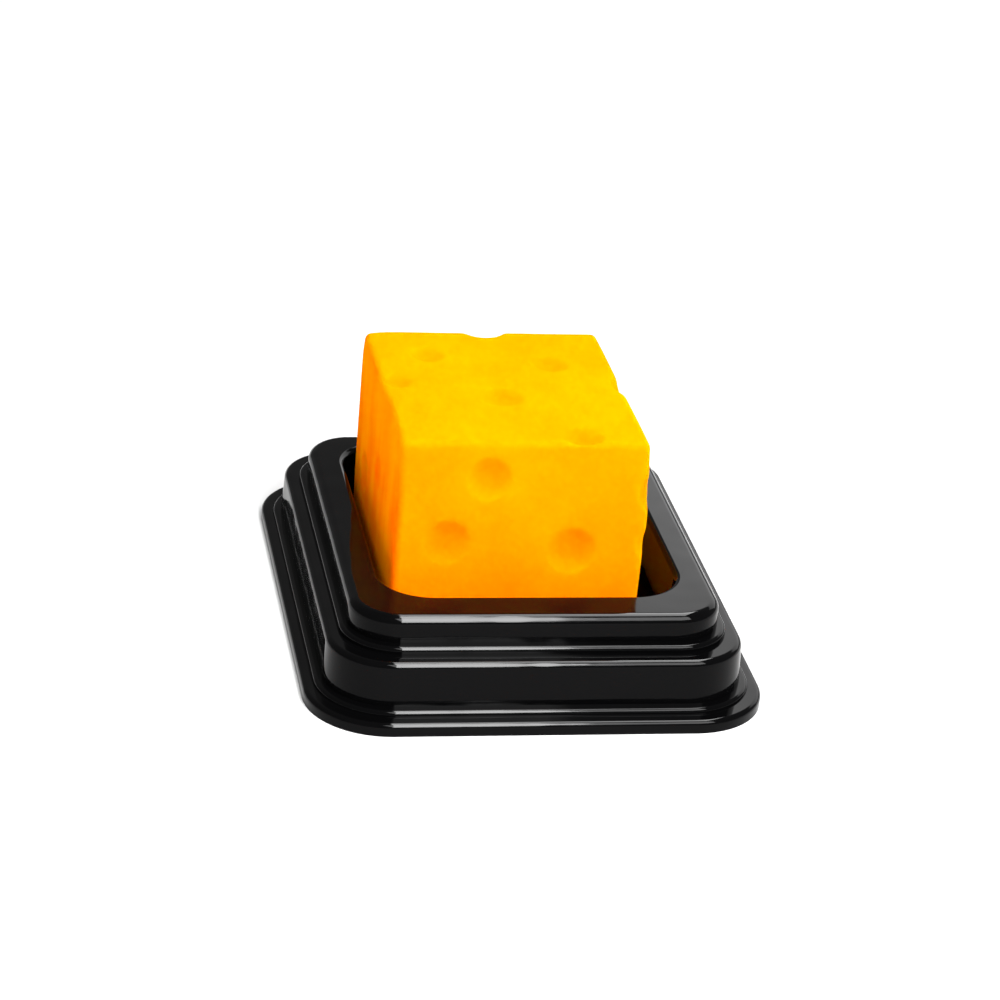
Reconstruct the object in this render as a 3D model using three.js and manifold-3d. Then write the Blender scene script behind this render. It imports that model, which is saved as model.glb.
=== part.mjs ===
// A block of yellow cheese standing in the well of a black two-tier plastic tray.
// Millimetres, +Z up. The origin is under the middle of the tray, on the surface it stands on.
// +X is to the right and -Y is the front.

import * as THREE from 'three';
import { LoftGeometry } from 'three/addons/geometries/LoftGeometry.js';
import { RoundedBoxGeometry } from 'three/addons/geometries/RoundedBoxGeometry.js';
import { mergeVertices } from 'three/addons/utils/BufferGeometryUtils.js';
import Module from 'manifold-3d';

const wasm = await Module();
wasm.setup();

// ---- Driving sizes -------------------------------------------------------------------------

// The cheese, and how far it stands clear of the floor of the well.
const cheese = { width: 55, depth: 63, height: 51.9, edgeRadius: 1.4 };
const restClearance = 0.3;

// The room left between the cheese and the foot of the well's walls.
const room = { left: 1.05, right: 6.05, front: 7, back: 5.2 };

// The plastic sheet that the whole tray is drawn from.
const sheet = 0.6;

// The well: how far its walls lean in down to the floor, and its corners and roundings.
const well = { lean: 2, corner: 11.5, mouthRadius: 1.2, floorRadius: 1.6 };

// Flat ledges, from the well out to the flange. "end" is the front and the back.
const rim = { side: 5.35, front: 8, back: 3.2 };
const step = { side: 1.6, end: 3.05 };
const brim = { side: 2.45, end: 3.7 };

// The plinth is the small round-edged step at the foot of each tier.
const plinth = { side: 1.75, end: 2.5, edgeRadius: 0.95 };

// Each tier: its rise from the ledge below, how much of that is plinth, how far its wall leans
// in, its shoulder and its corner.
const upperTier = { rise: 7.35, plinthRise: 1.5, lean: 0.1, shoulder: 2.1, corner: 10.5 };
const lowerTier = { rise: 10.7, plinthRise: 1.05, lean: 0.55, shoulder: 1.3, corner: 13.5 };
const flange = { rise: 2.85, edgeRadius: 1.1, corner: 17.3 };

// Eyes, the shallow round hollows in the cheese. Each is placed from the middle of its face:
// "across" runs to the right of somebody who faces it, and "up" is up, or to the back on top.
const eyes = [
  { face: 'top', across: -14.8, up: 16.9, width: 8.5, sink: 1.2 },
  { face: 'top', across: -24, up: 1.5, width: 7.5, sink: 1.2 },
  { face: 'top', across: -2, up: -6.6, width: 11, sink: 1.4 },
  { face: 'top', across: 12.6, up: 12.1, width: 9, sink: 1.2 },
  { face: 'top', across: 12.4, up: -28, width: 9.5, sink: 1.4 },
  { face: 'front', across: -7.9, up: 17.3, width: 9.8, sink: 1.4 },
  { face: 'front', across: -16.1, up: 2.4, width: 10.6, sink: 1.5 },
  { face: 'front', across: 11.4, up: 0.3, width: 11, sink: 1.5 },
  { face: 'left', across: -16.5, up: -3, width: 9, sink: 1.2 },
  { face: 'left', across: 3, up: 6, width: 8, sink: 1.1 },
  { face: 'right', across: 14, up: 2, width: 10, sink: 1.3 },
  { face: 'right', across: -8, up: 14, width: 9, sink: 1.2 },
  { face: 'back', across: -11, up: 9, width: 10, sink: 1.3 },
  { face: 'back', across: 13, up: 1, width: 9, sink: 1.2 },
];

// Notches, the eyes that an edge of the block cuts through: how far along the edge from its
// middle, how wide the notch is there, and how deep it bites.
const notches = [
  { edge: 'backTop', along: 0.6, width: 9.6, bite: 2.7 },
  { edge: 'rightTop', along: -0.2, width: 12, bite: 1.9 },
  { edge: 'leftTop', along: -12.6, width: 17, bite: 1.3 },
  { edge: 'rightFront', along: 14, width: 8, bite: 1.3 },
  { edge: 'rightFront', along: 1.8, width: 6, bite: 0.8 },
];

// How finely round shapes are faceted.
const cornerSteps = 6;
const arcSteps = 3;
const cheeseEdgeSteps = 3;
const eyeSides = 32;
const eyeRings = 24;

// How far a cutting solid runs past the face that it cuts through.
const overrun = 1;

// ---- Sizes that follow ---------------------------------------------------------------------

const mouth = {
  width: cheese.width + room.left + room.right + 2 * well.lean,
  depth: cheese.depth + room.front + room.back + 2 * well.lean,
  middle: (rim.front - rim.back) / 2,
};

const upper = {
  width: mouth.width + 2 * (rim.side + upperTier.shoulder),
  depth: mouth.depth + rim.front + rim.back + 2 * upperTier.shoulder,
};

const lower = {
  width: upper.width + 2 * (upperTier.lean + plinth.side + step.side + lowerTier.shoulder),
  depth: upper.depth + 2 * (upperTier.lean + plinth.end + step.end + lowerTier.shoulder),
};

const outer = {
  width: lower.width + 2 * (lowerTier.lean + plinth.side + brim.side),
  depth: lower.depth + 2 * (lowerTier.lean + plinth.end + brim.end),
};

const stepHeight = flange.rise + lowerTier.rise;
const trayHeight = stepHeight + upperTier.rise;

const cheeseMiddle = new THREE.Vector3(
  (room.left - room.right) / 2,
  mouth.middle + (room.front - room.back) / 2,
  sheet + restClearance + cheese.height / 2,
);

// ---- Outlines and lofts --------------------------------------------------------------------

// A level of the tray: a rounded rectangle at one height. "middle" is the y of its centre.
function level(size, corner, z, middle = 0) {
  return { width: size.width, depth: size.depth, corner, z, middle };
}

// The same level made larger by "side" on the left and right and by "end" front and back,
// and raised by "up". Its corners keep the same centres as far as they can.
function grown(from, side, end, up = 0) {
  const corner = Math.max(from.corner + Math.min(side, end), 0.1);
  const size = { width: from.width + 2 * side, depth: from.depth + 2 * end };
  return level(size, corner, from.z + up, from.middle);
}

// The levels of a quarter-round edge over a wall that ends at "wallTop".
function roundedOver(wallTop, radius) {
  return Array.from({ length: arcSteps + 1 }, (_, i) => {
    const turn = (i / arcSteps) * (Math.PI / 2);
    const inset = radius * (1 - Math.cos(turn));
    return grown(wallTop, -inset, -inset, radius * Math.sin(turn));
  });
}

// The points of one level, anticlockwise from above.
function ring({ width, depth, corner, z, middle }) {
  const x = width / 2 - corner;
  const y = depth / 2 - corner;
  const centres = [[x, y], [-x, y], [-x, -y], [x, -y]];
  return centres.flatMap(([cx, cy], quarter) => Array.from({ length: cornerSteps + 1 }, (_, i) => {
    const angle = (quarter + i / cornerSteps) * (Math.PI / 2);
    return new THREE.Vector3(cx + corner * Math.cos(angle), middle + cy + corner * Math.sin(angle), z);
  }));
}

function loft(levels) {
  return new LoftGeometry(levels.map(ring), { capStart: true, capEnd: true });
}

// ---- Solids --------------------------------------------------------------------------------

function solid(geometry) {
  const bare = new THREE.BufferGeometry();
  bare.setAttribute('position', geometry.getAttribute('position'));
  bare.setIndex(geometry.index);
  const merged = mergeVertices(bare, 1e-4);
  return new wasm.Manifold(new wasm.Mesh({
    numProp: 3,
    vertProperties: merged.attributes.position.array,
    triVerts: new Uint32Array(merged.index.array),
  }));
}

function geometryOf(made) {
  const { vertProperties, triVerts } = made.getMesh();
  const geometry = new THREE.BufferGeometry();
  geometry.setAttribute('position', new THREE.BufferAttribute(vertProperties, 3));
  geometry.setIndex(new THREE.BufferAttribute(triVerts, 1));
  geometry.computeVertexNormals();
  return geometry;
}

// ---- Tray ----------------------------------------------------------------------------------

// The wall of one tier, from the top of its plinth up to the ledge that its shoulder ends in.
function tierWall(size, tier, foot) {
  const top = foot + tier.rise - tier.shoulder;
  const wallTop = level(size, tier.corner, top);
  const wallFoot = grown(wallTop, tier.lean, tier.lean, foot + tier.plinthRise - top);
  const plinthSide = grown(wallFoot, plinth.side, plinth.end, -plinth.edgeRadius);
  const plinthFoot = grown(plinthSide, 0, 0, foot - plinthSide.z);
  const plinthRound = roundedOver(plinthSide, plinth.edgeRadius);
  return [plinthFoot, ...plinthRound, wallFoot, ...roundedOver(wallTop, tier.shoulder)];
}

// Every level of the outside of the tray, from the lip up to the ledge round the well.
function outsideLevels() {
  const lip = level(outer, flange.corner, 0);
  return [
    lip,
    ...roundedOver(grown(lip, 0, 0, flange.rise - flange.edgeRadius), flange.edgeRadius),
    ...tierWall(lower, lowerTier, flange.rise),
    ...tierWall(upper, upperTier, stepHeight),
  ];
}

// The levels of the well, from its floor up to its rolled mouth.
function wellLevels() {
  const wallTop = level(mouth, well.corner, trayHeight - well.mouthRadius, mouth.middle);
  const floorTop = sheet + well.floorRadius;
  const wallFoot = grown(wallTop, -well.lean, -well.lean, floorTop - wallTop.z);
  const floorRound = roundedOver(wallFoot, well.floorRadius)
    .map((round) => ({ ...round, z: 2 * floorTop - round.z }))
    .reverse();
  const mouthRound = roundedOver(wallTop, -well.mouthRadius)
    .map((round) => ({ ...round, z: 2 * wallTop.z - round.z }));
  return [...floorRound, ...mouthRound];
}

function extended(levels, below, above) {
  const first = levels[0];
  const last = levels[levels.length - 1];
  const under = below ? [grown(first, 0, 0, -below)] : [];
  const over = above ? [grown(last, 0, 0, above)] : [];
  return [...under, ...levels, ...over];
}

function trayGeometry() {
  const outside = solid(loft(outsideLevels()));
  const hollow = outsideLevels().map((at) => grown(at, -sheet, -sheet, at.z > 0 ? -sheet : 0));
  const wellSkin = wellLevels().map((at) => grown(at, sheet, sheet, -sheet));
  const well = solid(loft(extended(wellLevels(), 0, overrun)));
  const channel = solid(loft(extended(hollow, overrun, 0)))
    .subtract(solid(loft(extended(wellSkin, 2 * overrun, overrun))));
  return geometryOf(outside.subtract(well).subtract(channel));
}

// ---- Cheese --------------------------------------------------------------------------------

// For each face of the block: which way it looks, and which ways "across" and "up" run on it.
const faces = {
  top: { out: [0, 0, 1], across: [1, 0, 0], up: [0, 1, 0] },
  front: { out: [0, -1, 0], across: [1, 0, 0], up: [0, 0, 1] },
  back: { out: [0, 1, 0], across: [-1, 0, 0], up: [0, 0, 1] },
  left: { out: [-1, 0, 0], across: [0, -1, 0], up: [0, 0, 1] },
  right: { out: [1, 0, 0], across: [0, 1, 0], up: [0, 0, 1] },
};

// For each edge with a notch: the side of the block it is on, and the way along it.
const edges = {
  backTop: { out: [0, 1, 1], along: [1, 0, 0] },
  rightTop: { out: [1, 0, 1], along: [0, 1, 0] },
  leftTop: { out: [-1, 0, 1], along: [0, 1, 0] },
  rightFront: { out: [1, -1, 0], along: [0, 0, 1] },
};

const halfBlock = new THREE.Vector3(cheese.width, cheese.depth, cheese.height).multiplyScalar(0.5);

function vector([x, y, z]) {
  return new THREE.Vector3(x, y, z);
}

// The radius of the ball whose cap is "width" across and "sink" deep.
function ballRadius(width, sink) {
  return (width * width / 4 + sink * sink) / (2 * sink);
}

function ball(radius, centre) {
  const geometry = new THREE.SphereGeometry(radius, eyeSides, eyeRings);
  return solid(geometry.translate(centre.x, centre.y, centre.z));
}

function eyeBall({ face, across, up, width, sink }) {
  const ways = faces[face];
  const out = vector(ways.out);
  const radius = ballRadius(width, sink);
  const centre = out.clone().multiply(halfBlock)
    .addScaledVector(vector(ways.across), across)
    .addScaledVector(vector(ways.up), up)
    .addScaledVector(out, radius - sink);
  return ball(radius, centre);
}

function notchBall({ edge, along, width, bite }) {
  const ways = edges[edge];
  const out = vector(ways.out);
  const radius = ballRadius(width, bite);
  const centre = out.clone().multiply(halfBlock)
    .addScaledVector(vector(ways.along), along)
    .addScaledVector(out.normalize(), radius - bite - cheese.edgeRadius * (Math.SQRT2 - 1));
  return ball(radius, centre);
}

function cheeseGeometry() {
  const { width, depth, height, edgeRadius } = cheese;
  const block = solid(new RoundedBoxGeometry(width, depth, height, cheeseEdgeSteps, edgeRadius));
  const hollows = [...eyes.map(eyeBall), ...notches.map(notchBall)];
  return geometryOf(hollows.reduce((left, hollow) => left.subtract(hollow), block));
}

// ---- The object ----------------------------------------------------------------------------

const trayPlastic = new THREE.MeshStandardMaterial({ color: 0x0b0b0d, roughness: 0.22, metalness: 0 });
const cheesePaste = new THREE.MeshStandardMaterial({ color: 0xffb800, roughness: 0.55, metalness: 0 });

const tray = new THREE.Mesh(trayGeometry(), trayPlastic);
tray.name = 'tray';

const cheeseBlock = new THREE.Mesh(cheeseGeometry(), cheesePaste);
cheeseBlock.name = 'cheese_block';
cheeseBlock.position.copy(cheeseMiddle);

const cheeseOnTray = new THREE.Group();
cheeseOnTray.add(tray, cheeseBlock);

export default cheeseOnTray;
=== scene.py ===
# %% [markdown]
# # A block of cheese on its black tray
#
# The object has two pieces. A block of yellow cheese, cut square and full of small round eyes,
# stands in the well of a black plastic tray. The tray is one thin sheet, drawn over a mould into
# a flange, two tiers and the well.
#
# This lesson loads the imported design, makes a finer mesh for each piece with mesh operators,
# gives each one a material made of nodes, and then sets the floor, the lights and the camera.
# Blender works in metres, and sizes on a small object are easier to read in millimetres, so every
# size below is a number times `MM`.

# %% Load the design and note its size
import math

import bmesh
import bpy
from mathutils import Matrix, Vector, noise


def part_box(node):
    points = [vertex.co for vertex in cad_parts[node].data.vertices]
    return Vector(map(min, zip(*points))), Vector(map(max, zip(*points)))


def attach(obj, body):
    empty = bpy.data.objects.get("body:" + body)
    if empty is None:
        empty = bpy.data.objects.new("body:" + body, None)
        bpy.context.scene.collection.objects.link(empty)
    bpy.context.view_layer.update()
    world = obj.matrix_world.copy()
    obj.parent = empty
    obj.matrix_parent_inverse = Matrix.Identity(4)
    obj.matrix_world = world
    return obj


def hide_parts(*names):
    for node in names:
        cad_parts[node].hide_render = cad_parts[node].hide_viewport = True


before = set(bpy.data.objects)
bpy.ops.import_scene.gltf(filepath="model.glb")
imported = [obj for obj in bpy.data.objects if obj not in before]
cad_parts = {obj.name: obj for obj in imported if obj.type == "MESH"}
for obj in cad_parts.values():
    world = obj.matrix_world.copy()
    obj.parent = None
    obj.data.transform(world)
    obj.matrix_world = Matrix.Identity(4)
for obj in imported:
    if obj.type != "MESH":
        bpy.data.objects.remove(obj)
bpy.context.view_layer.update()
MM = 0.001  # metres in a millimetre
tray_low, tray_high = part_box("tray")
block_low, block_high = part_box("cheese_block")
tray_size = tray_high - tray_low
block_size = block_high - block_low
print("tray", [round(v / MM, 1) for v in tray_size], "mm")
print("cheese", [round(v / MM, 1) for v in block_size], "mm")

# %% [markdown]
# ## From a mesh to a piece
#
# Each piece starts as a bmesh, Blender's editable mesh, because its operators can be run one after
# another without selecting anything. `finished_piece` closes the seams, turns every face outwards,
# and makes the mesh into an object at the origin. The object moves with the one rigid body, and
# takes the place of the plain mesh that came with the design.

# %% Make a mesh into a piece
MERGE_WITHIN = 0.001 * MM
SHARP_ABOVE = math.radians(50)  # an edge that folds further than this is shaded as a crease


def finished_piece(name, bm, node):
    bmesh.ops.remove_doubles(bm, verts=bm.verts, dist=MERGE_WITHIN)
    bmesh.ops.recalc_face_normals(bm, faces=bm.faces)
    mesh = bpy.data.meshes.new(name)
    bm.to_mesh(mesh)
    bm.free()
    mesh.shade_smooth()
    mesh.set_sharp_from_angle(angle=SHARP_ABOVE)
    piece = bpy.data.objects.new(name, mesh)
    bpy.context.scene.collection.objects.link(piece)
    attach(piece, "root")
    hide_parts(node)
    print(name, len(mesh.polygons), "faces")
    return piece


print("a fold above", round(math.degrees(SHARP_ABOVE)), "degrees is shaded as a crease")

# %% [markdown]
# ## Sizes of the tray
#
# A drawn tray is a stack of rounded rectangles. Walking out from the well, the sheet climbs to
# the mouth, crosses a ledge, drops down a wall, crosses the next ledge, and so on to the lip. The
# sizes come from the design: the well is the block of cheese plus the room left round it, and
# each wall and ledge is added outwards from there. Keeping them together in one cell makes it easy
# to try a deeper tier or a wider rim.

# %% Sizes of the sheet, the ledges and the tiers
SHEET = 0.6 * MM
ROOM = {"left": 1.05 * MM, "right": 6.05 * MM, "front": 7 * MM, "back": 5.2 * MM}
WELL = {"lean": 2 * MM, "corner": 11.5 * MM, "mouth_radius": 1.2 * MM, "floor_radius": 1.6 * MM}
RIM = {"side": 5.35 * MM, "front": 8.0 * MM, "back": 3.2 * MM}
STEP = {"side": 1.6 * MM, "end": 3.05 * MM}
PLINTH = {"side": 1.75 * MM, "end": 2.5 * MM, "edge": 0.95 * MM}
UPPER = {
    "rise": 7.35 * MM, "plinth": 1.5 * MM, "lean": 0.1 * MM, "shoulder": 2.1 * MM, "corner": 10.5 * MM,
}
LOWER = {
    "rise": 10.7 * MM, "plinth": 1.05 * MM, "lean": 0.55 * MM, "shoulder": 1.3 * MM, "corner": 13.5 * MM,
}
FLANGE = {"rise": 2.85 * MM, "edge": 1.1 * MM, "corner": 17.3 * MM}
rises = [round(part["rise"] / MM, 2) for part in (FLANGE, LOWER, UPPER)]
print("flange, lower tier and upper tier rise", rises, "mm")

# %% [markdown]
# ## One level of the tray
#
# If every corner of that walk is written down as one outline, the mesh is only those outlines
# joined in order. An outline needs its width, its depth, its corner radius and its height, and the
# rounding that its edge gets later. `grown` makes the next outline from this one, as a mould maker
# steps outwards by a known amount. The first outline to be known is the mouth of the well.

# %% Describe a level, and set the mouth of the well
class Level:
    """One outline of the tray: a rounded rectangle at a height, and the rounding of its edge."""

    def __init__(self, width, depth, corner, z, rounding=0.0, middle=0.0):
        self.width, self.depth, self.corner, self.z = width, depth, corner, z
        self.rounding, self.middle = rounding, middle

    def grown(self, side, end, up=0.0, rounding=0.0):
        corner = self.corner + min(side, end)
        return Level(self.width + 2 * side, self.depth + 2 * end, corner, self.z + up, rounding, self.middle)


top_z = tray_high.z
mouth = Level(
    block_size.x + ROOM["left"] + ROOM["right"] + 2 * WELL["lean"],
    block_size.y + ROOM["front"] + ROOM["back"] + 2 * WELL["lean"],
    WELL["corner"], top_z, WELL["mouth_radius"], (RIM["front"] - RIM["back"]) / 2,
)
print("mouth", round(mouth.width / MM, 1), "by", round(mouth.depth / MM, 1), "mm")

# %% [markdown]
# ## The show side of the sheet
#
# The two tiers are made alike: a wall drops from a shoulder, leaning out a little so that the tray
# comes off its mould, and stands on a low plinth. One function therefore gives the four outlines of
# a tier. The list runs from the floor of the well, over the rim and down both tiers, to the lip.

# %% Walk the sheet from the well out to the lip
def tier_levels(shoulder, tier, foot_z):
    """From a tier's shoulder down to the foot of its plinth."""
    drop = foot_z + tier["plinth"] - shoulder.z
    wall_foot = shoulder.grown(tier["lean"], tier["lean"], drop)
    plinth_edge = wall_foot.grown(PLINTH["side"], PLINTH["end"], 0, PLINTH["edge"])
    plinth_foot = plinth_edge.grown(0, 0, -tier["plinth"])
    return [shoulder, wall_foot, plinth_edge, plinth_foot]


well_floor = mouth.grown(-WELL["lean"], -WELL["lean"], SHEET - top_z, WELL["floor_radius"])
upper_shoulder = Level(
    mouth.width + 2 * (RIM["side"] + UPPER["shoulder"]),
    mouth.depth + RIM["front"] + RIM["back"] + 2 * UPPER["shoulder"],
    UPPER["corner"], top_z, UPPER["shoulder"],
)
upper_levels = tier_levels(upper_shoulder, UPPER, top_z - UPPER["rise"])
step_out = STEP["side"] + LOWER["shoulder"], STEP["end"] + LOWER["shoulder"]
lower_shoulder = upper_levels[-1].grown(*step_out, 0, LOWER["shoulder"])
lower_shoulder.corner = LOWER["corner"]
lower_levels = tier_levels(lower_shoulder, LOWER, FLANGE["rise"])
flange_edge = Level(tray_size.x, tray_size.y, FLANGE["corner"], FLANGE["rise"], FLANGE["edge"])
lip = flange_edge.grown(0, 0, -FLANGE["rise"])
well_levels = [well_floor, mouth]
outside_levels = upper_levels + lower_levels + [flange_edge, lip]
print(len(well_levels) + len(outside_levels), "levels on the show side")

# %% [markdown]
# ## The underside
#
# The sheet has the same thickness everywhere, so its underside is the same walk moved in by one
# thickness and down by one thickness. A Solidify modifier could make it, but where a rounding is
# tighter than the sheet is thick it folds over itself. Walking back along shifted levels gives a
# clean closed shell instead. A rounding on the outside of a bend gets smaller by the sheet's
# thickness, and one on the inside of a bend gets larger.

# %% Walk back under the sheet
TIGHTEST_BEND = 0.1 * MM
CONVEX = (upper_shoulder, lower_shoulder, upper_levels[2], lower_levels[2], flange_edge)


def underside(level, way, rounding):
    """The level one thickness under another. The way is -1 outside the well and 1 inside it."""
    lowered = -SHEET if level.z > 0 else 0.0
    return level.grown(way * SHEET, way * SHEET, lowered, max(rounding, TIGHTEST_BEND))


under_levels = []
for level in reversed(outside_levels):
    change = -SHEET if level in CONVEX else SHEET
    under_levels.append(underside(level, -1, level.rounding + change))
under_levels[0].rounding = 0.0
under_levels.append(underside(mouth, 1, mouth.rounding - SHEET))
under_levels.append(underside(well_floor, 1, well_floor.rounding + SHEET))
sheet_walk = well_levels + outside_levels + under_levels
print(len(sheet_walk), "levels there and back")

# %% [markdown]
# ## Outlines into a shell
#
# Each outline begins as a one-face grid, the quickest rectangle, and a vertex bevel rounds its
# four corners. Bridging two outlines makes the band of sheet between them. Two outlines of one
# ledge lie in the same plane, where a bridge can twist, so all the outlines are stacked well apart
# while they are joined and only then set to their true heights. The faces are turned outwards
# before any edge is rounded, because a bevel needs neighbouring faces to agree on their outside.

# %% Draw the outlines and bridge them
CORNER_FACETS = 14
STACKED = 20 * MM  # how far apart the outlines are while they are joined


def outline(bm, level, height):
    """Adds a level's rounded rectangle, and returns its face and its edges."""
    made = bmesh.ops.create_grid(bm, x_segments=1, y_segments=1, size=0.5)["verts"]
    bmesh.ops.scale(bm, vec=(level.width, level.depth, 1), verts=made)
    bmesh.ops.translate(bm, vec=(0, level.middle, height), verts=made)
    rounded = bmesh.ops.bevel(
        bm, geom=made, offset=level.corner, offset_type="OFFSET", segments=CORNER_FACETS,
        profile=0.5, affect="VERTICES", material=-1,
    )
    face = max(set(f for v in rounded["verts"] for f in v.link_faces), key=lambda f: f.calc_area())
    return face, list(face.edges)


shell = bmesh.new()
outlines = [outline(shell, level, n * STACKED) for n, level in enumerate(sheet_walk)]
inner_faces = [face for face, _ in outlines[1:-1]]
bmesh.ops.delete(shell, geom=inner_faces, context="FACES_ONLY")
loops = [edges for _, edges in outlines]
for inner, outer in zip(loops, loops[1:]):
    bmesh.ops.bridge_loops(shell, edges=inner + outer)
for edges, level in zip(loops, sheet_walk):
    for v in set(v for e in edges for v in e.verts):
        v.co.z = level.z
bmesh.ops.recalc_face_normals(shell, faces=shell.faces)
print("sharp shell:", len(shell.faces), "faces")

# %% [markdown]
# ## Rounded edges
#
# The edges stay sharp until the whole walk is joined. Then each outline is bevelled by its own
# rounding, as a toolmaker breaks the edges of a mould after cutting its steps. On the show side
# the folds at the foot of a tier's wall and of its plinth stay sharp, as a drawn sheet is tight there.
# The bevel is what a glossy black tray is seen by: each rounding catches the lights as one bright
# line. A Weighted Normal modifier keeps the shading of the flat ledges flat right up to them.

# %% Round every edge of the walk
EDGE_FACETS = 6
FLAT_FACE_WEIGHT = 80

for edges, level in zip(loops, sheet_walk):
    if level.rounding:
        bmesh.ops.bevel(
            shell, geom=[e for e in edges if e.is_valid], offset=level.rounding, offset_type="OFFSET",
            segments=EDGE_FACETS, profile=0.5, affect="EDGES", material=-1, clamp_overlap=True,
        )
tray = finished_piece("drawn_tray", shell, "tray")
flatten = tray.modifiers.new("flat faces stay flat", "WEIGHTED_NORMAL")
flatten.weight = FLAT_FACE_WEIGHT
flatten.keep_sharp = True
print("rounded", sum(1 for level in sheet_walk if level.rounding), "outlines")

# %% [markdown]
# ## The block of cheese
#
# A cut block isn't a perfect box. Its edges are softly broken, its faces bow a little because
# the paste slumps under its own weight, and a wire leaves slow waves across them. The block
# starts as a cube, its edges are bevelled, and its long edges are then cut into a fine grid so
# that the later moves have vertices to work on.

# %% Cut the block
BLOCK_EDGE = 1.4 * MM
EDGE_STEPS = 3
GRID_CUTS = 50

block_middle = (block_low + block_high) / 2
half = block_size / 2
block = bmesh.new()
bmesh.ops.create_cube(block, size=1)
bmesh.ops.scale(block, vec=block_size, verts=block.verts)
bmesh.ops.translate(block, vec=block_middle, verts=block.verts)
bmesh.ops.bevel(
    block, geom=list(block.edges), offset=BLOCK_EDGE, offset_type="OFFSET", segments=EDGE_STEPS,
    profile=0.5, affect="EDGES", material=-1,
)
long_edges = [e for e in block.edges if e.calc_length() > 2 * BLOCK_EDGE]
bmesh.ops.subdivide_edges(block, edges=long_edges, cuts=GRID_CUTS, use_grid_fill=True)
print("cut block:", len(block.faces), "faces")

# %% [markdown]
# ## Slump and wire marks
#
# The right side of the block leans in towards the top and stands out a little at the waist,
# because the paste has settled. The wire that cut the block left slow waves on every face. Moving
# each vertex by a smooth function of where it is does this better than a lattice, because each
# amount can be stated in millimetres. The waves come from Blender's own noise vector. It starts
# from a place drawn by the clock unless a seed is set, so the seed is set first, and the block
# comes out the same every time.

# %% Let the block settle
TOP_TUCK = 0.7 * MM      # how far the right side leans in at the top
TUCK_FROM = 0.75         # height where that lean begins, as a share of the block
WAIST = 0.62             # height of the waist, as a share of the block
WAIST_SPREAD = 0.13      # how far the swelling reaches up and down, as a share of the block
SWELL = 0.3 * MM         # how far the waist stands out on the right
SLOPE_BACK = 0.1 * MM    # how far the top lies under the highest point, so that no wave passes it
WAVE_DEPTH = 0.13 * MM
WAVE_LENGTH = 17 * MM
WAVE_SEED = 1

noise.seed_set(WAVE_SEED)
for v in block.verts:
    place = v.co - block_middle
    share = Vector((place.x / half.x, place.y / half.y, place.z / half.z))
    height = (share.z + 1) / 2
    to_right = max(0.0, share.x)
    v.co.x -= TOP_TUCK * to_right * max(0.0, (height - TUCK_FROM) / (1 - TUCK_FROM))
    v.co.x += SWELL * to_right * math.exp(-(((height - WAIST) / WAIST_SPREAD) ** 2))
    v.co += noise.noise_vector(v.co / WAVE_LENGTH) * WAVE_DEPTH
    v.co.z -= SLOPE_BACK * max(0.0, share.z)
print("settled block:", round(max(v.co.z for v in block.verts) / MM, 2), "mm to its top")

# %% [markdown]
# ## Rubbed edges
#
# Handling rubs soft paste down where it stands out, so the left top edge has dropped at the back
# corner and again nearer the front. Each spot is a soft dent: a vertex moves inwards by an amount
# that fades with its distance from the spot. A bevel can't do this, since it is the same all the
# way along an edge.

# %% Rub down the left top edge
WORN_SPOTS = (  # where along the edge (-1 is the front, 1 is the back), depth, reach
    (1.0, 0.5 * MM, 3.5 * MM),
    (-0.4, 1.3 * MM, 9 * MM),
)
for along, depth, reach in WORN_SPOTS:
    worn = block_middle + Vector((-half.x, along * half.y, half.z))
    inward = Vector((1, -max(0.0, along), -1)).normalized()
    for v in block.verts:
        near = (v.co - worn).length / reach
        v.co += inward * depth * math.exp(-near * near)
print("rubbed", len(WORN_SPOTS), "spots")

# %% [markdown]
# ## Eyes
#
# Eyes are gas bubbles that the knife cut through, so each one is part of a ball. Every vertex
# inside the ball is pushed straight out to the ball's surface, which leaves a clean round hollow
# with a definite rim. They could be cut with a Boolean modifier, but that leaves long thin faces
# round each hollow that shade badly on a soft surface. How deep each vertex went is kept on the
# mesh as an attribute, and the material uses it later.

# %% Make a ball that presses into the paste
hollow = block.verts.layers.float.new("hollow")


def ball_radius(width, sink):
    """Radius of the ball whose hollow is this wide and this deep. Width and sink are in mm."""
    return (width * width / 4 + sink * sink) / (2 * sink) * MM


def middle_of(out):
    """Middle of the block's face or edge on the side that a direction points to."""
    return block_middle + Vector([o * h for o, h in zip(out, half)])


def press_ball(centre, radius):
    """Pushes the paste out of a ball, and notes how deep each vertex went, in millimetres."""
    for v in block.verts:
        away = v.co - centre
        if away.length < radius:
            v[hollow] = max(v[hollow], (radius - away.length) / MM)
            v.co = centre + away.normalized() * radius


print("an eye 10 mm wide and 1.4 mm deep is part of a ball of", round(ball_radius(10, 1.4) / MM, 1), "mm")

# %% [markdown]
# ## Places for the eyes
#
# Each face gets three directions: straight out, to the right as you look at it, and up. An eye is
# then placed on its face as on a sheet of paper, by how far it lies across and up from the middle,
# all in millimetres. A list of places is easier to change than a random scatter, and it keeps the
# eyes on the faces that are seen where they ought to be.

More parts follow.
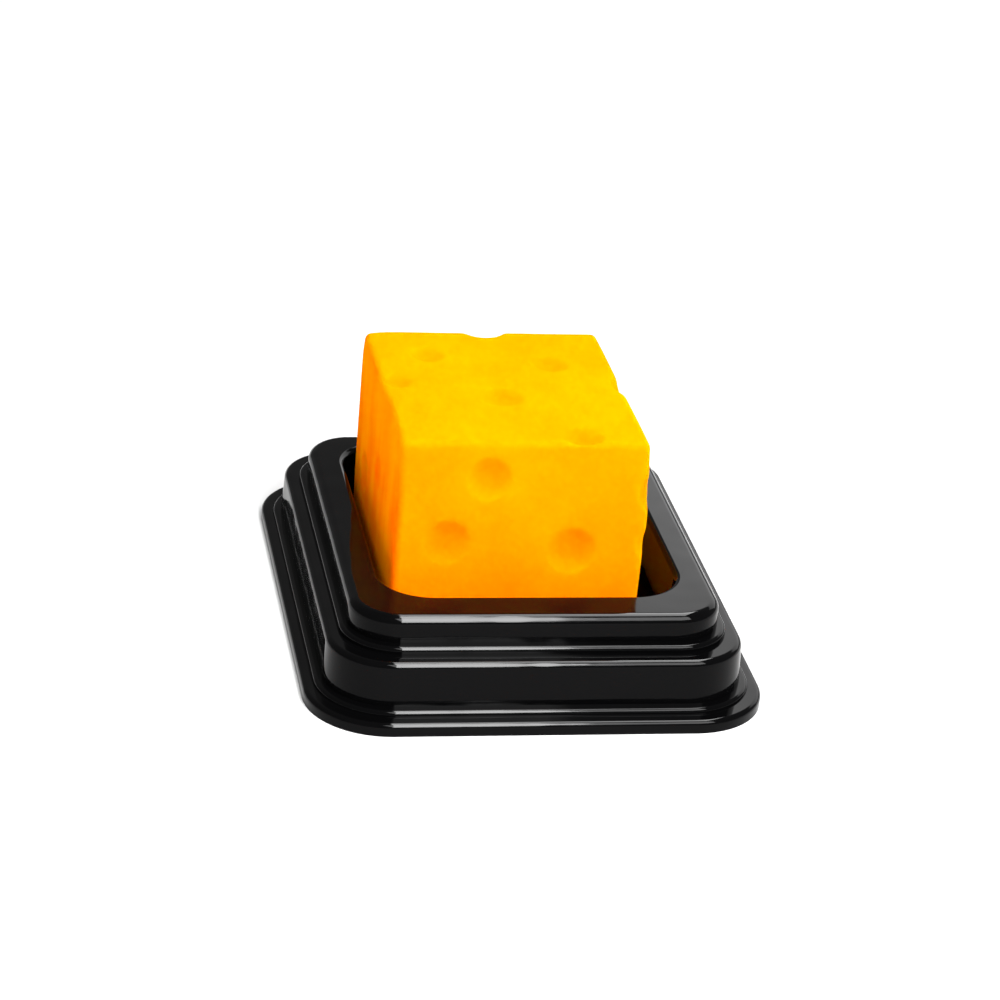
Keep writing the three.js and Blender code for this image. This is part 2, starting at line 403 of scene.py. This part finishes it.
# %% Press the eyes
FACES = {
    "top": (Vector((0, 0, 1)), Vector((1, 0, 0)), Vector((0, 1, 0))),
    "front": (Vector((0, -1, 0)), Vector((1, 0, 0)), Vector((0, 0, 1))),
    "back": (Vector((0, 1, 0)), Vector((-1, 0, 0)), Vector((0, 0, 1))),
    "left": (Vector((-1, 0, 0)), Vector((0, -1, 0)), Vector((0, 0, 1))),
    "right": (Vector((1, 0, 0)), Vector((0, 1, 0)), Vector((0, 0, 1))),
}
EYES = (  # face, across, up, width, sink
    ("top", -14.8, 16.9, 8.5, 1.2),
    ("top", -24, 1.5, 7.5, 1.2),
    ("top", -2, -6.6, 11, 1.4),
    ("top", 12.6, 12.1, 9, 1.2),
    ("top", 12.4, -28, 9.5, 1.4),
    ("front", -7.9, 17.3, 9.8, 1.4),
    ("front", -16.1, 2.4, 10.6, 1.5),
    ("front", 11.4, 0.3, 11, 1.5),
    ("left", -16.5, -3, 9, 1.2),
    ("left", 3, 6, 8, 1.1),
    ("right", 14, 2, 10, 1.3),
    ("right", -8, 14, 9, 1.2),
    ("back", -11, 9, 10, 1.3),
    ("back", 13, 1, 9, 1.2),
)
for face, across, up, width, sink in EYES:
    out, right, rise = FACES[face]
    radius = ball_radius(width, sink)
    spot = middle_of(out)
    spot += right * across * MM + rise * up * MM
    press_ball(spot + out * (radius - sink * MM), radius)
print("pressed", len(EYES), "eyes")

# %% [markdown]
# ## Notches
#
# Some bubbles were cut by two faces at once, so they show as a bite out of an edge. The same ball
# does the work, with its middle on a line that leans out between the two faces. The edge has been
# broken already, so the ball goes in by that much more. A Subdivision Surface modifier with one
# level then rounds the fine grid into a soft skin, which is how fresh cheese looks under a lamp.

# %% Notch the edges
EDGES = {
    "back_top": (Vector((0, 1, 1)), Vector((1, 0, 0))),
    "right_top": (Vector((1, 0, 1)), Vector((0, 1, 0))),
    "right_front": (Vector((1, -1, 0)), Vector((0, 0, 1))),
}
NOTCHES = (  # edge, along, width, bite
    ("back_top", 0.4, 9.4, 2.7),
    ("right_top", 0.8, 12, 2.0),
    ("right_front", 14, 8, 1.3),
    ("right_front", 1.8, 6, 0.8),
)
broken = BLOCK_EDGE * (math.sqrt(2) - 1)  # how far the edge itself lies inside a sharp corner
for edge, along, width, bite in NOTCHES:
    out, way = EDGES[edge]
    radius = ball_radius(width, bite)
    spot = middle_of(out) + way * along * MM
    press_ball(spot + out.normalized() * (radius - bite * MM - broken), radius)
cheese = finished_piece("cut_cheese", block, "cheese_block")
smoothing = cheese.modifiers.new("soft paste", "SUBSURF")
smoothing.levels = smoothing.render_levels = 1
print("bitten", len(NOTCHES), "notches")

# %% [markdown]
# ## Patterns for the materials
#
# Both materials start from the Principled shader and add a few texture nodes. A painted texture
# could give the pattern, but the mesh would have to be unwrapped for it. Noise read in Object
# coordinates needs no unwrapping, and it stays on the piece wherever the piece goes. The first
# helpers make a new material, the noise, and a place along one axis.

# %% Helpers for a material and its patterns
def new_material(name):
    material = bpy.data.materials.new(name)
    material.use_nodes = True
    nodes, links = material.node_tree.nodes, material.node_tree.links
    shader = nodes["Principled BSDF"]
    return material, nodes, links, shader


def object_noise(nodes, links, scale, detail, stretch=(1, 1, 1)):
    """Noise on the object's own coordinates. Scale is in features per metre."""
    where = nodes.new("ShaderNodeTexCoord")
    stretched = nodes.new("ShaderNodeMapping")
    stretched.inputs["Scale"].default_value = stretch
    texture = nodes.new("ShaderNodeTexNoise")
    texture.inputs["Scale"].default_value = scale
    texture.inputs["Detail"].default_value = detail
    links.new(where.outputs["Object"], stretched.inputs["Vector"])
    links.new(stretched.outputs["Vector"], texture.inputs["Vector"])
    return texture.outputs["Fac"]


def along_axis(nodes, links, axis):
    """How far along one axis of the object a point is, in metres."""
    where = nodes.new("ShaderNodeTexCoord")
    split = nodes.new("ShaderNodeSeparateXYZ")
    links.new(where.outputs["Object"], split.inputs["Vector"])
    return split.outputs[axis]


print("a noise of scale 45 has features about", round(1 / 45 / MM), "mm wide")

# %% [markdown]
# ## Mixing the patterns
#
# A pattern is only a number between 0 and 1 at each point. Four more helpers turn such numbers
# into a look: `ramp` stretches or squeezes the range, `times` lets one pattern hold another back,
# `mixed` uses a pattern to choose between two colours, and `bumped` uses one as tiny hills and
# dips. Each gives back a socket, so the calls can be put one inside another.

# %% Helpers that turn patterns into a look
MIX_FIRST, MIX_SECOND, MIX_RESULT = 6, 7, 2  # the colour sockets of a Mix node, which share names


def times(nodes, links, first, second):
    product = nodes.new("ShaderNodeMath")
    product.operation = "MULTIPLY"
    links.new(first, product.inputs[0])
    links.new(second, product.inputs[1])
    return product.outputs["Value"]


def mixed(nodes, links, factor, first, second):
    """A colour between two others, by a factor that comes from a socket."""
    mix = nodes.new("ShaderNodeMix")
    mix.data_type = "RGBA"
    links.new(factor, mix.inputs["Factor"])
    for number, colour in ((MIX_FIRST, first), (MIX_SECOND, second)):
        if isinstance(colour, tuple):
            mix.inputs[number].default_value = (*colour, 1)
        else:
            links.new(colour, mix.inputs[number])
    return mix.outputs[MIX_RESULT]


def ramp(nodes, links, value, low, high, out_low=0.0, out_high=1.0):
    """Maps a socket's value from one range to another."""
    spread = nodes.new("ShaderNodeMapRange")
    spread.inputs["From Min"].default_value, spread.inputs["From Max"].default_value = low, high
    spread.inputs["To Min"].default_value, spread.inputs["To Max"].default_value = out_low, out_high
    links.new(value, spread.inputs["Value"])
    return spread.outputs["Result"]


def bumped(nodes, links, height, distance, under=None):
    """Hills and dips of a real height, laid over another bump if there is one."""
    bump = nodes.new("ShaderNodeBump")
    bump.inputs["Distance"].default_value = distance
    links.new(height, bump.inputs["Height"])
    if under:
        links.new(under, bump.inputs["Normal"])
    return bump.outputs["Normal"]


print("helpers made:", ", ".join(helper.__name__ for helper in (times, mixed, ramp, bumped)))

# %% [markdown]
# ## Colour of the cheese
#
# The colour drifts a little through the paste, in clouds about two centimetres wide. Inside an eye
# the paste is a little deeper in colour, with shade painted in as well, so the depth that was noted
# while pressing picks a second colour there. The foot of the block gets painted shade, a deeper
# orange where the tray keeps the light off it. The shaded left face gets upright streaks and painted
# shade together, darker towards the bottom, which a stretched noise gives once it is held to that
# face. Each of these is one mix on top of the last, so any of them can be turned down by itself.

# %% Colour the cheese
PALE_PASTE = (0.98, 0.235, 0.0)
DEEP_PASTE = (0.94, 0.19, 0.0)
# the eye colour: the eye's own slightly deeper paste plus painted shade in the hollow
EYE_PASTE_AND_SHADE = (0.90, 0.135, 0.0)
# partly streak marks on the left face, partly painted shade on that shaded side, darker towards the bottom
STREAK_AND_SHADE_PASTE = (0.90, 0.105, 0.0)
# painted shade: the foot is a deeper orange where the tray keeps the light off it
FOOT_SHADE_PASTE = (0.93, 0.145, 0.0)
EYE_RIM, EYE_DEEP, EYE_PASTE_AND_SHADE_SHARE = 0.05, 1.3, 0.5            # depths in millimetres, and the share of the eye colour, which is partly painted shade
STREAKS_UNDER, STREAKS_FULL = 1.8 * MM, 0.3 * MM         # distances in from the left face
LEFT_SHADE_FROM, LEFT_SHADE_FULL, LEFT_SHADE_LEAST = 47 * MM, 33 * MM, 0.3    # heights, and the share above them, of the streaks and painted shade on the left face
FOOT_SHADE_FROM, FOOT_SHADE_FULL, FOOT_SHADE_SHARE = 23 * MM, 9 * MM, 0.6  # heights, and the share of the painted shade at the foot

paste, nodes, links, shader = new_material("cheese paste")
clouds = object_noise(nodes, links, scale=45, detail=5)
cut = mixed(nodes, links, ramp(nodes, links, clouds, 0.3, 0.7), DEEP_PASTE, PALE_PASTE)
depth = nodes.new("ShaderNodeAttribute")
depth.attribute_name = "hollow"
# painted shade in the eyes, deeper where the hollow is deeper, over the eyes' own deeper paste
eye_paste_and_shade = ramp(nodes, links, depth.outputs["Fac"], EYE_RIM, EYE_DEEP, 0.0, EYE_PASTE_AND_SHADE_SHARE)
with_eye_paste_and_shade = mixed(nodes, links, eye_paste_and_shade, cut, EYE_PASTE_AND_SHADE)
left_x = block_low.x
# painted shade on the shaded left face, in upright streaks and darker towards the bottom
on_left = ramp(nodes, links, along_axis(nodes, links, "X"), left_x + STREAKS_UNDER, left_x + STREAKS_FULL)
low_down = ramp(nodes, links, along_axis(nodes, links, "Z"), LEFT_SHADE_FROM, LEFT_SHADE_FULL, LEFT_SHADE_LEAST, 1.0)
streaks = object_noise(nodes, links, scale=95, detail=2, stretch=(1, 1, 0.4))
streaky = ramp(nodes, links, streaks, 0.38, 0.62, 0.45, 1.0)
streaks_and_shade = times(nodes, links, times(nodes, links, on_left, low_down), streaky)
# painted shade at the foot of the block, where the tray keeps the light off
foot_shade = ramp(nodes, links, along_axis(nodes, links, "Z"), FOOT_SHADE_FROM, FOOT_SHADE_FULL, 0.0, FOOT_SHADE_SHARE)
with_foot_shade = mixed(nodes, links, foot_shade, with_eye_paste_and_shade, FOOT_SHADE_PASTE)
links.new(mixed(nodes, links, streaks_and_shade, with_foot_shade, STREAK_AND_SHADE_PASTE), shader.inputs["Base Color"])
print("coloured the paste with", len(nodes), "nodes")

# %% [markdown]
# ## Skin of the cheese
#
# Cheese lets light in and scatters it back, so a shaded side glows orange instead of going grey.
# Subsurface scattering on the Principled shader does that: red travels furthest, then green, and
# blue hardly at all. A plain diffuse surface would need a false orange light to look the same. Two
# bumps make the fine grain of a cut face and its small pits, and the pits also change the
# roughness a little. The specular level is zero, because a cut face has no shine of its own.

# %% Give the cheese its skin
GRAIN_HEIGHT = 0.05 * MM
PIT_HEIGHT = 0.18 * MM
SMOOTHEST, ROUGHEST = 0.45, 0.6
GLOW_REACH = 5 * MM
GLOW_BY_COLOUR = (1.0, 0.3, 0.05)

grain = object_noise(nodes, links, scale=900, detail=4)
pits = object_noise(nodes, links, scale=240, detail=3)
fine = bumped(nodes, links, grain, GRAIN_HEIGHT)
links.new(bumped(nodes, links, pits, PIT_HEIGHT, under=fine), shader.inputs["Normal"])
links.new(ramp(nodes, links, pits, 0.3, 0.7, SMOOTHEST, ROUGHEST), shader.inputs["Roughness"])
shader.inputs["Subsurface Weight"].default_value = 1.0
shader.inputs["Subsurface Radius"].default_value = GLOW_BY_COLOUR
shader.inputs["Subsurface Scale"].default_value = GLOW_REACH
shader.inputs["Specular IOR Level"].default_value = 0.0
cheese.data.materials.append(paste)
print("painted", cheese.name, "with", len(nodes), "nodes")

# %% [markdown]
# ## Black sheet
#
# Drawn plastic is smooth but never quite flat. A slow noise used as a bump warps its reflections
# by a hair, and a second noise changes the roughness in soft smears, as handling does. The base
# colour is nearly black, so almost everything seen on the tray is a reflection, and the specular
# level is kept low so that the walls stay deep black between the bright roundings.

# %% Paint the tray
BLACK = (0.001, 0.001, 0.0011)
SHINE = 0.058
WARP_HEIGHT = 0.35 * MM
CLEAN, HANDLED = 0.04, 0.11  # roughness

plastic, nodes, links, shader = new_material("black sheet")
shader.inputs["Base Color"].default_value = (*BLACK, 1)
shader.inputs["IOR"].default_value = 1.5
shader.inputs["Specular IOR Level"].default_value = SHINE
warp = object_noise(nodes, links, scale=38, detail=2)
smear = object_noise(nodes, links, scale=160, detail=4)
links.new(bumped(nodes, links, warp, WARP_HEIGHT), shader.inputs["Normal"])
links.new(ramp(nodes, links, smear, 0.35, 0.75, CLEAN, HANDLED), shader.inputs["Roughness"])
tray.data.materials.append(plastic)
print("painted", tray.name, "with", len(nodes), "nodes")

# %% [markdown]
# ## Floor
#
# The object stands on a plain pale floor, one large matt square that runs far past the edges of
# the view. A curved backdrop would do as well, but from above the floor is all that shows. It
# isn't part of the object, so it isn't attached to the body that carries the pieces.

# %% Lay the floor
FLOOR_REACH = 2.0  # metres from the object to each side
FLOOR_GREY = 0.62

sweep = bmesh.new()
bmesh.ops.create_grid(sweep, x_segments=1, y_segments=1, size=FLOOR_REACH)
mesh = bpy.data.meshes.new("floor")
sweep.to_mesh(mesh)
sweep.free()
floor = bpy.data.objects.new("floor", mesh)
bpy.context.scene.collection.objects.link(floor)
matt, nodes, links, shader = new_material("pale floor")
shader.inputs["Base Color"].default_value = (FLOOR_GREY, FLOOR_GREY, FLOOR_GREY, 1)
shader.inputs["Roughness"].default_value = 0.9
floor.data.materials.append(matt)
print("floor", [round(v, 1) for v in floor.dimensions], "m")

# %% [markdown]
# ## Lights
#
# A large soft key stands to the right in front and gives the cheese its shape. A weaker fill from
# the left keeps the shaded side orange. A black glossy tray shows its lamps rather than its own
# colour, so three long panels are there for its reflections only: a narrow strip in front, one
# overhead and a dim one behind. The first two are aimed at a line beside the origin, so that they
# hang square to the tray's front edge. A panel's brightness should stay the same when its size
# changes, so `softbox` takes the radiance and works out the power.

# %% Set the lamps
WORLD_STRENGTH = 0.35
WAIST_HIGH = 0.03  # metres, the height that the lamps are aimed at


def softbox(name, size, radiance, place, aim=(0, 0, WAIST_HIGH)):
    light = bpy.data.lights.new(name, "AREA")
    light.shape = "RECTANGLE"
    light.size, light.size_y = size
    light.energy = radiance * math.pi * size[0] * size[1]
    lamp = bpy.data.objects.new(name, light)
    lamp.location = place
    lamp.rotation_euler = (Vector(place) - Vector(aim)).to_track_quat("Z", "Y").to_euler()
    bpy.context.scene.collection.objects.link(lamp)
    return lamp


softbox("key", (0.9, 0.9), 23.5, (0.42, -0.93, 1.17))
fill = softbox("fill left", (0.5, 0.5), 11.0, (-0.55, -0.6, 0.95))
fill.visible_glossy = False
strip = softbox("strip in front", (0.13, 1.78), 84.0, (0.205, -0.728, 1.07), aim=(0.205, 0, WAIST_HIGH))
over = softbox("strip above", (0.36, 1.02), 34.0, (0.3, 0.376, 1.064), aim=(0.3, 0, WAIST_HIGH))
behind = softbox("panel behind", (1.4, 0.7), 3.1, (0.95, 1.2, 0.65))
for lamp in (strip, over, behind):
    lamp.visible_diffuse = False
world = bpy.data.worlds.new("studio")
bpy.context.scene.world = world
world.use_nodes = True
background = world.node_tree.nodes["Background"]
background.inputs["Color"].default_value = (1, 1, 1, 1)
background.inputs["Strength"].default_value = WORLD_STRENGTH
bpy.context.scene.view_settings.view_transform = "Standard"
print(len(bpy.data.lights), "lamps")

# %% [markdown]
# ## Camera
#
# The camera looks down from the front, a little from the left, through a long lens that keeps the
# sides of the block nearly parallel. It is placed by its direction and distance, pointed at the
# origin, and then rolled and tilted about its own axes, in that order. Rolling first matters,
# because a tilt after the roll moves the view straight up or down the frame.

# %% Place the camera
AZIMUTH, ELEVATION, ROLL = -11.93, 26.65, 5.22
DISTANCE = 0.7104
LENS, SENSOR = 112.16, 36
TILT_UP, TURN_RIGHT = 1.898, 0.02

camera_data = bpy.data.cameras.new("camera")
camera_data.lens = LENS
camera_data.sensor_width = SENSOR
camera = bpy.data.objects.new("camera", camera_data)
around, above = math.radians(AZIMUTH), math.radians(ELEVATION)
camera.location = DISTANCE * Vector(
    (math.sin(around) * math.cos(above), -math.cos(around) * math.cos(above), math.sin(above))
)
camera.rotation_euler = camera.location.to_track_quat("Z", "Y").to_euler()
camera.rotation_euler.rotate_axis("Z", math.radians(ROLL))
camera.rotation_euler.rotate_axis("X", math.radians(TILT_UP))
camera.rotation_euler.rotate_axis("Y", -math.radians(TURN_RIGHT))
bpy.context.scene.collection.objects.link(camera)
bpy.context.scene.camera = camera
print("camera", round(DISTANCE, 2), "m away,", ELEVATION, "degrees up")
